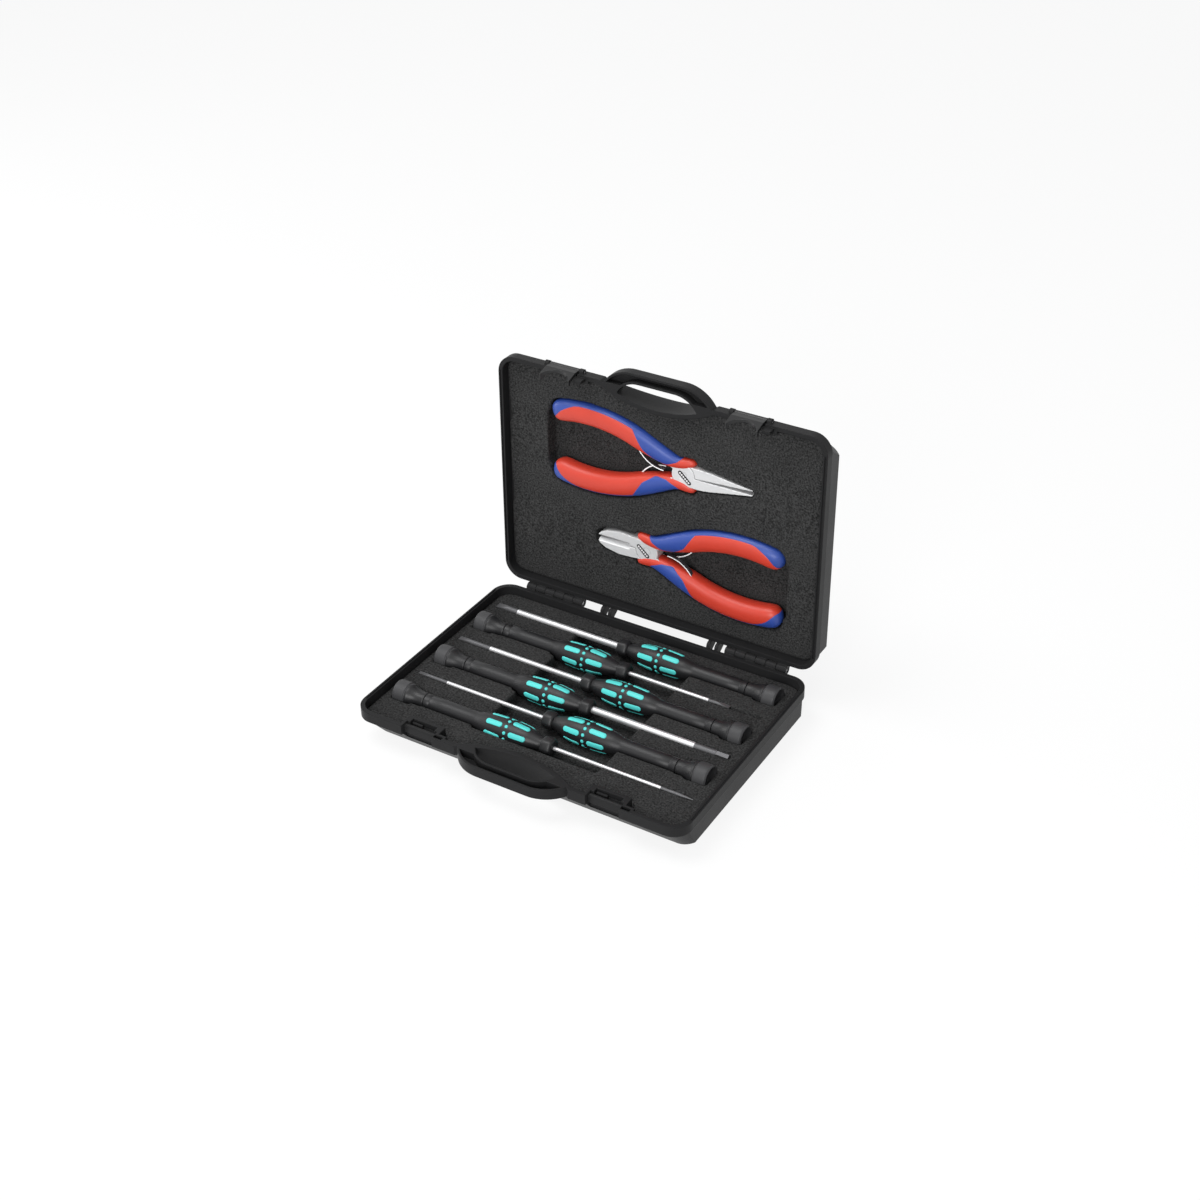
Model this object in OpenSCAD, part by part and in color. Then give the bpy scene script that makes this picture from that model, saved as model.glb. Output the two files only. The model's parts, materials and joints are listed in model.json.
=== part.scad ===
// Fitted hard tool case: two moulded halves on pin hinges, snap latches, foam inserts,
// six precision screwdrivers in the base and two small pliers in the lid.
// X runs along the long side, Y from the handle to the hinge, Z up; the lid stands open.

/* [Case] */
// Length that the walls, the foam's ends and the row's play add to a screwdriver
end_room = 17; // [16:0.5:20]
// Room behind the back row, from its axis to the back rim
back_room = 16.1; // [15:0.1:18]
// Room in front of the front row, from its axis to the front rim
front_room = 28.4; // [27:0.1:32]
// Height of each half from its face to the parting plane
half_h = 20; // [19:0.5:23]
// Radius of the rim's corners seen from above
corner_r = 10; // [8:1:14]
// Thickness of the rim
rim_t = 2.4; // [2:0.1:3]
// Thickness of the moulded walls and faces
wall_t = 2; // [1.6:0.1:2.4]
// Depth of the rim flange
flange_h = 5.5; // [5:0.5:6.5]
// Step from the flange in to the wall below it
flange_step = 1; // [0.6:0.1:1.4]
// How far the front wall slopes in between flange and face
front_slope = 12; // [9:1:13]
// How far the other walls draw in between flange and face
draft = 1.8; // [1:0.1:2]
// Gap between the two rims when shut
rim_gap = 0.2; // [0.1:0.05:0.3]
// Angle of the lid from shut to its stop
open_angle = 91; // [88:1:100]

/* [Handle] */
// Radius of the finger scoop in the front wall
scoop_r = 65; // [60:1:75]
// Depth of the scoop in from the front rim
scoop_in = 8.9; // [7:0.1:10]
// How far the handle bow stands out in front of the rim
bow_out = 8.4; // [7:0.1:12]
// Width of the bow's strap at its middle
bow_t = 5.6; // [4.8:0.1:6]
// Half the length of the bow's straight middle
bow_mid = 14.5; // [12:0.5:16]
// How much wider the strap is at its two ends
bow_swell = 4; // [2:0.5:5]
// Outer radius of the bow's two bends
bow_r = 20; // [18:1:22]
// Skin around the hollow of the bow
bow_skin = 1.2; // [1:0.1:1.6]

/* [Hinges] */
// Distance of the hinge axis behind the back rim
hinge_out = 2.8; // [2.7:0.1:3.2]
// Radius of the hinge knuckles
knuckle_r = 2.45; // [2.3:0.05:2.5]
// Knuckles in each hinge, shared by base and lid
knuckle_n = 6; // [4:2:8]
// Length of one hinge
hinge_w = 36; // [30:1:40]
// Distance of each hinge's middle from the case's middle
hinge_x = 62; // [58:1:66]
// Radius of the hinge pins
hinge_pin_r = 1.1; // [0.9:0.05:1.2]
// Middle of the left pair of stop ribs
stop_left_x = -28.7; // [-32:0.1:-24]
// Middle of the right pair of stop ribs
stop_right_x = 36.7; // [30:0.1:39]
// Thickness of one stop rib
stop_t = 1.9; // [1.5:0.1:2.4]
// Distance between the two ribs of a pair
stop_pitch = 4.8; // [4.4:0.1:6]
// Reach of the stop ribs behind the hinge axis
stop_reach = 4.5; // [3.5:0.1:5]

/* [Latches] */
// Distance of each latch and its tab from the case's middle
latch_x = 53.6; // [50:0.2:56]
// Width of the latch
latch_w = 17.6; // [14:0.2:20]
// Thickness of the latch plate
latch_t = 1.6; // [1.4:0.1:1.8]
// Radius of the latch's hinge barrel
barrel_r = 1.4; // [1.2:0.05:1.5]
// Radius of the latch pins
latch_pin_r = 0.6; // [0.5:0.05:0.7]
// Reach of the claws under the base flange
claw_in = 3.4; // [3.1:0.1:3.8]
// Width of the ears that carry the latch pin
ear_w = 2.4; // [2:0.1:3]
// Height of the arch between a latch's two claws
arch_h = 5.4; // [4:0.1:5.8]
// Width of the locating tab beside each latch
tab_w = 4.4; // [3.6:0.1:5]

/* [Foam] */
// Depth of the foam's face below the rim
foam_drop = 4.4; // [4:0.1:5]
// Gap between foam and the walls round it
foam_gap = 0.4; // [0.3:0.1:0.6]
// Half the width of the finger recess across the rows
recess_x = 35; // [30:1:38]
// Room between a tool and its foam pocket
seat_gap = 0.25; // [0.2:0.05:0.4]

/* [Screwdrivers] */
// Distance from row to row
row_pitch = 18.1; // [17:0.1:18.4]
// Height of the screwdrivers' axes above the table
driver_z = 14.9; // [14:0.1:15]
// Length of handle and cap together
handle_l = 95; // [93:1:97]
// Reach of the long blades in front of the handle
blade_l = 78; // [72:1:78]
// Reach of the short blade in front of the handle
short_blade_l = 59; // [50:1:66]
// Radius of the handle's grip at its fullest
grip_r = 6.5; // [6:0.1:6.6]
// Radius of the handle's slim part
neck_r = 4.2; // [3.4:0.1:4.4]
// Length of the turning cap
cap_l = 18; // [17:0.5:20]
// Radius of the turning cap
cap_r = 6.6; // [6:0.1:6.7]
// Radius of the thickest blade
blade_r = 2; // [1.8:0.1:2.2]

/* [Pliers] */
// Thickness of the plier sleeves
sleeve_t = 11.4; // [10:0.2:11.6]
// Width of a sleeve in plan
sleeve_w = 12.4; // [11:0.1:12.8]
// Thickness of the steel at the joint
steel_t = 7; // [6:0.2:8]
// Radius of the joint's boss
boss_r = 6.6; // [6:0.1:6.8]
// Radius of the pivot
pivot_r = 2.1; // [1.8:0.1:2.4]
// Length of the needle-nose jaws in front of the pivot
nose_l = 38.8; // [34:0.2:40]
// Length of the cutter's head in front of the pivot
cutter_l = 30; // [28:0.5:31]
// Angle between the halves as the pliers lie in their pockets
rest_angle = 3; // [2:0.5:4]

/* [Hidden] */
$fn = 48;
eps = 0.05;
far = 200;
case_w = handle_l + blade_l + end_room;
case_d = back_room + 5 * row_pitch + front_room;
row_back = case_d / 2 - back_room;
front_y = -case_d / 2;
back_y = case_d / 2;
axis_y = back_y + hinge_out;
axis_z = half_h + rim_gap / 2;
lid_z = 2 * half_h + rim_gap;
flange_z = half_h - flange_h;
foam_z = half_h - foam_drop;
scoop_y = front_y + scoop_in - scoop_r;
bow_y = front_y - bow_out + bow_r;
// The front wall's slope as an angle, and its thickness measured along Y
slope_angle = atan(front_slope / flange_z);
slope_t = wall_t / cos(slope_angle);
pin_fit = 0.06;
knuckle_l = hinge_w / knuckle_n;
knuckle_gap = 0.25;
stop_z = axis_z + hinge_out;
// Latch: shallow bay in the lid's flange, hinge line, bent plate and claws
latch_shift = 1.9;
bay_w = latch_w + 0.8;
bay_y = front_y + 1.2;
plate_y = front_y + 0.5;
latch_y = front_y - 0.2;
latch_z = half_h + rim_gap + 3.2;
bend_z = half_h - 1.1;
lean = 2;
claw_z = flange_z - 0.3;
claw_t = 1.6;
claw_y = plate_y + claw_in;
arch_w = latch_w - 1.2;
arch_r = (arch_w * arch_w / 4 + arch_h * arch_h) / (2 * arch_h);
// Base side: open notch, and the pocket under its ledge that the claws reach into
notch_y = claw_y - 1;
catch_h = 3.5;
catch_y = claw_y + 0.8;
catch_wall = 1.6;
// The ledge is a low rounded bar; a rib stands in the slot behind it
ledge_t = 2.4;
ledge_drop = 1;
slot_t = 2.8;
slot_w = bay_w - 3.6;
slot_h = 3;
catch_rib_w = 6;
catch_rib_t = 1.2;
catch_back = max(catch_y, notch_y + ledge_t + slot_t);
// Locating tab and the socket it drops into
tab_x = latch_w / 2 + 3.2;
tab_y = front_y + 1.1;
tab_t = 1.6;
tab_l = 4.6;
tab_gap = 0.25;
tab_wall = 1.2;
// Tongue on the short sides of the base rim
tongue_w = 0.7;
tongue_h = 0.7;
tongue_gap = 0.2;
// Screwdrivers: radii and tips of the six blades, from the back row to the front one
blade_scale = [0.95, 0.58, 0.75, 0.95, 0.56, 0.5];
tip_kind = ["flat", "flat", "flat", "hex", "flat", "cross"];
rows = [for (i = [0:5]) row_back - i * row_pitch];
driver_shift = -1.6;
driver_end = (handle_l + blade_l) / 2;
handle_x = driver_end - handle_l;
collar_l = 5.5;
collar_r = 4;
grip_from = handle_x + 13;
grip_to = grip_from + 32;
grip_draw = 0.7;
grip_taper = 9;
core_r = 5;
flute_r = 2.4;
flute_in = 0.7;
flare_x = driver_end - cap_l;
cap_end = driver_end - 1.4;
cap_gap = 0.3;
spindle_r = 2;
shaft_in = 24;
tip_l = 7;
// Pliers: where the pivots lie in the shut lid, and the arc that the handles follow
pliers_sink = 1.7;
pliers_z = lid_z - half_h + pliers_sink + sleeve_t / 2;
nose_at = [14, -23.7];
cutter_at = [-7, 27.8];
arc_r = 80;
arc_at = [-57, 19.4 - arc_r];
arc_front = 22.5;
arc_back = 11.8;
pocket_end = -81.9;
sleeve_edge = 1.6;
stripe_w = 1.6;
tang_t = 3;
tang_w = 5;
lap_gap = 0.3;
lap_z = 0.03;
nose_tip = 1.7;
jaw_w = 6.4;
bevel_z = 0.6;
bevel_angle = 25;
leaf_r = 17;
leaf_t = 0.6;
leaf_w = 2.4;
leaf_gap = 0.2;

// ---- Frames ----

// Turns a tray that lies face down into the shut lid
module as_lid() {
    translate([0, 0, lid_z]) mirror([0, 0, 1]) children();
}

// Swings what belongs to the lid from shut to its stop
module opened() {
    translate([0, axis_y, axis_z]) rotate([-open_angle, 0, 0])
        translate([0, -axis_y, -axis_z]) children();
}

// A profile drawn in Y and Z, extruded along X about the middle
module along_x(length) {
    rotate([90, 0, 90]) translate([0, 0, -length / 2]) linear_extrude(length) children();
}

// A profile drawn in X and Z, extruded along Y about the middle
module along_y(length) {
    rotate([90, 0, 0]) translate([0, 0, -length / 2]) linear_extrude(length) children();
}

module rod_x(r, length) {
    rotate([0, 90, 0]) cylinder(r = r, h = length, center = true);
}

// ---- Moulded halves ----

module plan(inset) {
    r = corner_r - inset;
    w = case_w - 2 * inset;
    d = case_d - 2 * inset;
    square([w - 2 * r, d], center = true);
    square([w, d - 2 * r], center = true);
    for (x = [-1, 1], y = [-1, 1])
        translate([x * (w / 2 - r), y * (d / 2 - r)]) circle(r);
}

// Outline of width w with its two front corners rounded, its front edge on the X axis
module front_round(w) {
    r = corner_r - flange_step;
    translate([-w / 2, r]) square([w, far]);
    translate([r - w / 2, 0]) square([w - 2 * r, far]);
    for (x = [-1, 1]) translate([x * (w / 2 - r), r]) circle(r);
}

// The space inside the walls when t is the wall thickness, the whole body when t is 0
module body(t, gap = 0) {
    inset = flange_step + t + gap;
    front = front_y + flange_step + gap + (t > 0 ? slope_t : 0);
    z0 = t;
    rise = (flange_z - z0) / flange_z;
    intersection() {
        translate([0, 0, z0]) linear_extrude(half_h - z0) plan(inset);
        along_x(case_w) polygon([
            [front, half_h], [front, z0], [back_y - inset - draft * rise, z0],
            [back_y - inset, flange_z], [back_y - inset, half_h]
        ]);
        // The front slope and its two rounded edges are one slanting prism
        translate([0, front, flange_z]) rotate([slope_angle, 0, 0])
            translate([0, 0, -far / 2]) linear_extrude(far) front_round(case_w - 2 * inset);
        along_y(case_d) polygon([
            [-case_w / 2 + inset, half_h], [-case_w / 2 + inset + draft, z0],
            [case_w / 2 - inset - draft, z0], [case_w / 2 - inset, half_h]
        ]);
    }
}

module scoop(extra = 0) {
    translate([0, scoop_y, -eps]) cylinder(r = scoop_r + extra, h = half_h + 1, $fn = 96);
}

// Plan of the bow drawn in from its outer edge, with its two bends at a distance of mid
module bow_plan(inset, mid) {
    r = bow_r - inset;
    for (x = [-1, 1]) translate([x * mid, bow_y]) circle(r);
    translate([-mid, bow_y - r]) square([2 * mid, r]);
}

module bow() {
    difference() {
        translate([0, 0, flange_z]) linear_extrude(flange_h) difference() {
            bow_plan(0, bow_mid);
            bow_plan(bow_t, bow_mid - bow_swell);
            // Inside the rim the strap gives way to the foam
            difference() {
                plan(rim_t);
                translate([0, scoop_y]) circle(scoop_r + rim_t, $fn = 96);
            }
            translate([-far / 2, scoop_y + scoop_r]) square(far);
        }
        // Hollow of the strap, open at the parting plane
        translate([0, 0, flange_z + bow_skin]) linear_extrude(flange_h) difference() {
            bow_plan(bow_skin, bow_mid);
            bow_plan(bow_t - bow_skin, bow_mid - bow_swell);
            translate([-far / 2, front_y]) square(far);
        }
    }
}

// One half without hinges and latches: flange, sloped front, scoop and bow
module tray() {
    difference() {
        union() {
            difference() {
                union() {
                    body(0);
                    translate([0, 0, flange_z]) linear_extrude(flange_h) plan(0);
                }
                body(wall_t);
                translate([0, 0, flange_z]) linear_extrude(flange_h + 1) plan(rim_t);
            }
            // Wall round the scoop
            intersection() {
                scoop(rim_t);
                union() {
                    body(0);
                    translate([0, 0, flange_z]) linear_extrude(flange_h) plan(0);
                }
            }
        }
        scoop();
    }
    bow();
}

// ---- Hinges ----

// Knuckles first, first + 2 and so on of one hinge, with their webs to the back rim
module knuckles(first) {
    for (side = [-1, 1], k = [first:2:knuckle_n - 1])
        translate([side * hinge_x - hinge_w / 2 + (k + 0.5) * knuckle_l, 0, 0])
            along_x(knuckle_l - knuckle_gap) {
                translate([axis_y, axis_z]) circle(knuckle_r);
                polygon([
                    [back_y - rim_t / 2, flange_z], [back_y, flange_z],
                    [axis_y, axis_z - knuckle_r], [axis_y, axis_z - rim_gap / 2],
                    [back_y - rim_t / 2, half_h]
                ]);
            }
}

module hinge_bores(r) {
    for (side = [-1, 1]) translate([side * hinge_x, axis_y, axis_z]) rod_x(r, hinge_w + 1);
}

// Ribs that the open lid's back wall comes to rest on
module stop_ribs() {
    for (mid = [stop_left_x, stop_right_x], side = [-1, 1])
        difference() {
            translate([mid + side * stop_pitch / 2, 0, 0]) along_x(stop_t) {
                translate([axis_y, axis_z]) circle(knuckle_r);
                polygon([
                    [back_y - rim_t / 2, flange_z], [back_y, flange_z],
                    [axis_y + stop_reach, axis_z - 1], [axis_y + stop_reach, stop_z + 1],
                    [axis_y, stop_z + 1], [axis_y, half_h], [back_y - rim_t / 2, half_h]
                ]);
            }
            opened() translate([-far / 2, back_y - far + eps, -far / 2]) cube(far);
        }
}

module hinge_pin(side) {
    color("silver") translate([side * hinge_x, axis_y, axis_z]) rod_x(hinge_pin_r, hinge_w - 1);
}

// ---- Latches ----

function latch_at(side) = side * latch_x - latch_shift;

// Shallow bay in the lid's flange behind the latch
module latch_bays() {
    for (side = [-1, 1])
        translate([latch_at(side) - bay_w / 2, bay_y - 10, flange_z - 1])
            cube([bay_w, 10, flange_h + 2]);
}

// Boxes behind the base's notches and the blocks round the tabs
module catch_walls(grow) {
    w = bay_w + 2 * (catch_wall + grow);
    low = flange_z - catch_h - catch_wall - grow;
    for (side = [-1, 1])
        translate([latch_at(side) - w / 2, front_y, low])
            cube([w, catch_back + catch_wall + grow - front_y, half_h - low]);
}

module tab_blocks(grow) {
    w = tab_w + 2 * (tab_gap + tab_wall + grow);
    for (side = [-1, 1])
        translate([latch_at(side) + tab_x - w / 2, front_y, flange_z - grow])
            cube([w, tab_y + tab_t + tab_gap + tab_wall + grow - front_y, flange_h + grow]);
}

module catch_cuts() {
    low = flange_z - catch_h;
    top = half_h - ledge_drop;
    for (side = [-1, 1]) translate([latch_at(side), 0, 0]) {
        translate([-bay_w / 2, front_y - 2, low]) {
            cube([bay_w, notch_y - front_y + 2, half_h]);
            cube([bay_w, catch_y - front_y + 2, catch_h]);
        }
        // Room over the rounded ledge, and the slot with its rib
        along_x(bay_w) difference() {
            translate([notch_y - eps, top - ledge_t / 2]) square([ledge_t + eps, half_h]);
            translate([notch_y + ledge_t / 2, top - ledge_t / 2]) circle(ledge_t / 2);
        }
        difference() {
            translate([-slot_w / 2, notch_y + ledge_t - eps, half_h - slot_h])
                cube([slot_w, slot_t + eps, half_h]);
            translate([-slot_w / 4 - catch_rib_w / 2, notch_y + ledge_t + (slot_t - catch_rib_t) / 2, 0])
                cube([catch_rib_w, catch_rib_t, top]);
        }
    }
}

module tab_slots() {
    w = tab_w + 2 * tab_gap;
    for (side = [-1, 1])
        translate([latch_at(side) + tab_x - w / 2, tab_y - tab_gap, half_h - tab_l - 0.4])
            cube([w, tab_t + 2 * tab_gap, tab_l + 1]);
}

module tabs() {
    for (side = [-1, 1])
        translate([latch_at(side) + tab_x - tab_w / 2, tab_y, half_h - tab_l])
            cube([tab_w, tab_t, tab_l + rim_gap + 1]);
}

// Ears either side of the latch, drawn on the lid as a tray
module latch_ears() {
    for (side = [-1, 1], end = [-1, 1])
        translate([latch_at(side) + end * (bay_w + ear_w) / 2, 0, 0]) along_x(ear_w) {
            translate([latch_y, lid_z - latch_z]) circle(barrel_r + 0.3);
            translate([latch_y, lid_z - latch_z - barrel_r - 0.3])
                square([rim_t / 2 + 0.2, 2 * barrel_r + 0.6]);
        }
}

module latch_rods(r, length) {
    for (side = [-1, 1]) translate([latch_at(side), latch_y, lid_z - latch_z]) rod_x(r, length);
}

// Bent plate on a barrel; the arch in its free edge leaves a claw at each corner
module latch(side) {
    color([0.16, 0.16, 0.17]) opened() translate([latch_at(side), 0, 0]) difference() {
        union() {
            translate([0, latch_y, latch_z]) rod_x(barrel_r, latch_w);
            along_x(latch_w) polygon([
                [plate_y - latch_t, latch_z], [plate_y - latch_t, bend_z],
                [plate_y - latch_t + lean, claw_z - claw_t], [claw_y, claw_z - claw_t],
                [claw_y, claw_z], [plate_y + lean, claw_z], [plate_y, bend_z], [plate_y, latch_z]
            ]);
        }
        translate([0, latch_y, latch_z]) rod_x(latch_pin_r + pin_fit, latch_w + 1);
        translate([0, plate_y, claw_z - claw_t + arch_h - arch_r]) rotate([90, 0, 0])
            cylinder(r = arch_r, h = far, center = true);
    }
}

module latch_pin(side) {
    color("silver") opened() translate([latch_at(side), latch_y, latch_z])
        rod_x(latch_pin_r, bay_w + 2 * ear_w);
}

// ---- The two shells ----

module outer_form() {
    body(0);
    translate([0, 0, flange_z]) linear_extrude(flange_h) plan(0);
}

module base_shell() {
    color([0.15, 0.15, 0.16]) difference() {
        union() {
            difference() {
                union() {
                    tray();
                    intersection() {
                        outer_form();
                        union() {
                            catch_walls(0);
                            tab_blocks(0);
                        }
                    }
                }
                catch_cuts();
                tab_slots();
            }
            knuckles(0);
            stop_ribs();
            for (side = [-1, 1])
                translate([side * (case_w - rim_t) / 2 - tongue_w / 2, corner_r - back_y, half_h - 1])
                    cube([tongue_w, case_d - 2 * corner_r, 1 + tongue_h]);
        }
        hinge_bores(hinge_pin_r);
    }
}

module lid_shell() {
    color([0.15, 0.15, 0.16]) opened() difference() {
        union() {
            as_lid() {
                difference() {
                    union() {
                        tray();
                        latch_ears();
                        intersection() {
                            outer_form();
                            tab_blocks(0);
                        }
                    }
                    latch_bays();
                    latch_rods(barrel_r + 0.3, bay_w);
                    latch_rods(latch_pin_r, bay_w + 2 * ear_w);
                    for (side = [-1, 1])
                        translate([
                            side * (case_w - rim_t) / 2 - tongue_w / 2 - tongue_gap,
                            corner_r - back_y - 1, half_h - tongue_h
                        ]) cube([tongue_w + 2 * tongue_gap, case_d - 2 * corner_r + 2, 1]);
                }
                knuckles(1);
            }
            tabs();
        }
        hinge_bores(hinge_pin_r + pin_fit);
    }
}

// ---- Foam ----

module foam_block() {
    difference() {
        union() {
            intersection() {
                body(wall_t, foam_gap);
                translate([-far / 2, -far / 2, 0]) cube([far, far, foam_z]);
            }
            translate([0, 0, flange_z + foam_gap]) linear_extrude(foam_z - flange_z - foam_gap)
                plan(rim_t + foam_gap);
        }
        scoop(rim_t + foam_gap);
    }
}

// Room for one screwdriver, open upwards; the handle points to +X
module driver_pocket(i) {
    steps = [
        [handle_x - blade_l, handle_x, shaft_r(i)],
        [handle_x, grip_from, neck_r + 0.6],
        [grip_from, grip_to, grip_r],
        [grip_to, driver_end - cap_l, neck_r + 0.6],
        [driver_end - cap_l, driver_end - cap_l + 6, neck_r + 1],
        [driver_end - cap_l + 6, driver_end, cap_r]
    ];
    for (s = steps) translate([0, 0, driver_z]) {
        r = s[2] + seat_gap;
        w = s[1] - s[0] + 2 * seat_gap;
        translate([s[0] - seat_gap + w / 2, 0, 0]) rod_x(r, w);
        translate([s[0] - seat_gap, -r, 0]) cube([w, 2 * r, half_h]);
    }
}

module base_foam() {
    color([0.13, 0.13, 0.14]) difference() {
        foam_block();
        catch_walls(foam_gap);
        tab_blocks(foam_gap);
        for (i = [0:5]) in_row(i) driver_pocket(i);
        translate([-recess_x, rows[5] - grip_r, driver_z - grip_r - seat_gap])
            cube([2 * recess_x, rows[0] - rows[5] + 10, half_h]);
    }
}

module lid_foam() {
    color([0.13, 0.13, 0.14]) opened() difference() {
        as_lid() difference() {
            foam_block();
            tab_blocks(foam_gap);
        }
        plier_pocket(nose_at, 0, [
            [10, 6.8], [15, 6.3], [26, 4.5], [nose_l, 2.5], [nose_l + 1, 1.6], [nose_l + 1, 0]
        ]);
        plier_pocket(cutter_at, 180, [
            [10, 7.4], [17, 7.7], [cutter_l - 4, 6.8], [cutter_l + 1.4, 3.4], [cutter_l + 1.4, 0]
        ]);
    }
}

// ---- Screwdrivers, drawn with the handle towards +X ----

// Every other screwdriver is turned end for end
module in_row(i) {
    translate([driver_shift, rows[i], 0]) rotate([0, 0, i % 2 * 180]) children();
}

function blade_end(i) = handle_x - (i == 1 ? short_blade_l : blade_l);

// A profile of radius and X, spun about the screwdriver's axis
module spun() {
    translate([0, 0, driver_z]) rotate([0, 90, 0]) rotate_extrude() children();
}

// Section of the grip, full in the middle and drawn in at its two ends
module grip_profile() {
    polygon([
        [core_r, grip_from], [grip_r - grip_draw, grip_from], [grip_r, grip_from + grip_taper],
        [grip_r, grip_to - grip_taper], [grip_r - grip_draw, grip_to], [core_r, grip_to]
    ]);
}

module driver_handle(i) {
    color([0.11, 0.12, 0.13]) in_row(i) union() {
        translate([handle_x, 0, driver_z]) rotate([0, 90, 0]) difference() {
            cylinder(r = collar_r, h = collar_l, $fn = 6);
            translate([0, 0, -1]) cylinder(r = shaft_r(i), h = far);
        }
        spun() difference() {
            polygon([
                [0, handle_x + collar_l], [neck_r, handle_x + collar_l],
                [neck_r + 0.5, grip_from], [core_r, grip_from], [core_r, grip_to],
                [neck_r + 0.7, grip_to], [neck_r, grip_to + 8],
                [neck_r, flare_x], [spindle_r, flare_x],
                [spindle_r, cap_end - 2.2], [spindle_r + 0.4, cap_end - 1.8],
                [spindle_r + 0.4, cap_end - 1.4], [spindle_r, cap_end - 1], [0, cap_end - 1]
            ]);
            translate([0, handle_x]) square([shaft_r(i), shaft_in]);
        }
    }
}

// Soft sleeve on the handle's core, with flutes for the fingers
module driver_grip(i) {
    color([0.16, 0.74, 0.68]) in_row(i) difference() {
        spun() grip_profile();
        for (a = [0:60:300]) translate([0, 0, driver_z]) rotate([a, 0, 0])
            translate([(grip_from + grip_to) / 2, 0, grip_r + flute_r - flute_in])
                rod_x(flute_r, grip_to - grip_from - 8);
    }
}

// Flared cap that turns on the handle's spindle
module driver_cap(i) {
    color([0.09, 0.09, 0.1]) in_row(i) spun() difference() {
        polygon([
            [0, flare_x + cap_gap], [neck_r, flare_x + cap_gap], [neck_r + 0.5, flare_x + 5],
            [neck_r + 1.5, flare_x + 8.5], [cap_r, flare_x + 11], [cap_r, driver_end - 2],
            [cap_r - 0.7, driver_end - 0.6], [cap_r - 2.2, driver_end], [0, driver_end - 0.6]
        ]);
        polygon([
            [0, flare_x], [spindle_r + pin_fit, flare_x], [spindle_r + pin_fit, cap_end - 2.4],
            [spindle_r + 0.7, cap_end - 2], [spindle_r + 0.7, cap_end - 0.7], [0, cap_end - 0.7]
        ]);
    }
}

function shaft_r(i) = blade_r * blade_scale[i];

// Steel blade, held in the handle, with its tip at the low end of X
module driver_blade(i) {
    r = shaft_r(i);
    low = blade_end(i);
    color([0.8, 0.81, 0.82]) in_row(i) translate([0, 0, driver_z]) difference() {
        union() {
            translate([low + tip_l, 0, 0]) rotate([0, 90, 0])
                cylinder(r = r, h = handle_x + shaft_in - low - tip_l);
            if (tip_kind[i] == "hex")
                translate([low, 0, 0]) rotate([0, 90, 0]) cylinder(r = r, h = tip_l + 1, $fn = 6);
            else if (tip_kind[i] == "flat")
                translate([low, 0, 0]) rotate([0, 90, 0]) cylinder(r = r, h = tip_l);
            else
                translate([low, 0, 0]) rotate([0, 90, 0]) cylinder(r1 = r * 0.3, r2 = r, h = tip_l);
        }
        if (tip_kind[i] == "flat") for (side = [-1, 1])
            along_y(4 * r) polygon([
                [low - 1, side * r * 0.22], [low + tip_l, side * (r + eps)], [low - 1, side * 2 * r]
            ]);
        if (tip_kind[i] == "cross") for (a = [45:90:315]) rotate([a, 0, 0])
            along_y(2 * r) polygon([
                [low - 1, r * 0.16], [low + tip_l, r * 1.1], [low - 1, r * 2]
            ]);
    }
}

// ---- Pliers, drawn with the pivot at the origin, the jaws towards +X, half A's handle at +Y ----

// Puts a pair of pliers in its place in the open lid
module in_lid(at, turn) {
    opened() translate([at[0], at[1], pliers_z]) rotate([0, 0, turn]) children();
}

// Half B is half A turned over about the long axis
module flip(b) {
    rotate([b ? 180 : 0, 0, 0]) children();
}

// Plan of one bent handle, grown by g
module handle_plan(g = 0) {
    intersection() {
        difference() {
            translate(arc_at) circle(arc_r + sleeve_w / 2 + g, $fn = 160);
            translate(arc_at) circle(arc_r - sleeve_w / 2 - g, $fn = 160);
        }
        polygon([
            arc_at, arc_at + 2 * arc_r * [sin(arc_front + 1), cos(arc_front + 1)],
            arc_at + 2 * arc_r * [-sin(arc_back), cos(arc_back)]
        ]);
    }
    translate(arc_at + arc_r * [-sin(arc_back), cos(arc_back)]) circle(sleeve_w / 2 + g);
    polygon([
        [-31, 21.6 + g], [-24, 18.8 + g], [-3, 9 + g], [3, 9.7 + g], [4, 3.6 - g],
        [-9, 1.2 - g], [-31, 8.3 - g]
    ]);
    translate([4.5, 7.4]) circle(2.3 + g);
}

// Sleeve and inlay in one, stepped in along the edges of both faces
module sleeve_solid() {
    translate([0, 0, -sleeve_t / 2]) linear_extrude(sleeve_t) handle_plan(-sleeve_edge);
    translate([0, 0, sleeve_edge - sleeve_t / 2]) linear_extrude(sleeve_t - 2 * sleeve_edge)
        handle_plan();
}

// Zone of the second colour: a wing at the front, a stripe along the back and the end
module inlay_plan() {
    difference() {
        translate([-80, 0]) square([52, 30]);
        translate(arc_at) circle(arc_r + sleeve_w / 2 - stripe_w, $fn = 160);
    }
    polygon([
        [-30, 24], [-28.5, 17.5], [-23.5, 9.8], [-17.6, 5], [-9, 4.2], [-1.2, 6.4], [2.4, 12]
    ]);
    polygon([[-84, 12], [-75.5, 14.6], [-71.5, 19.8], [-65, 23.2], [-65, 30], [-84, 30]]);
}

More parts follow.
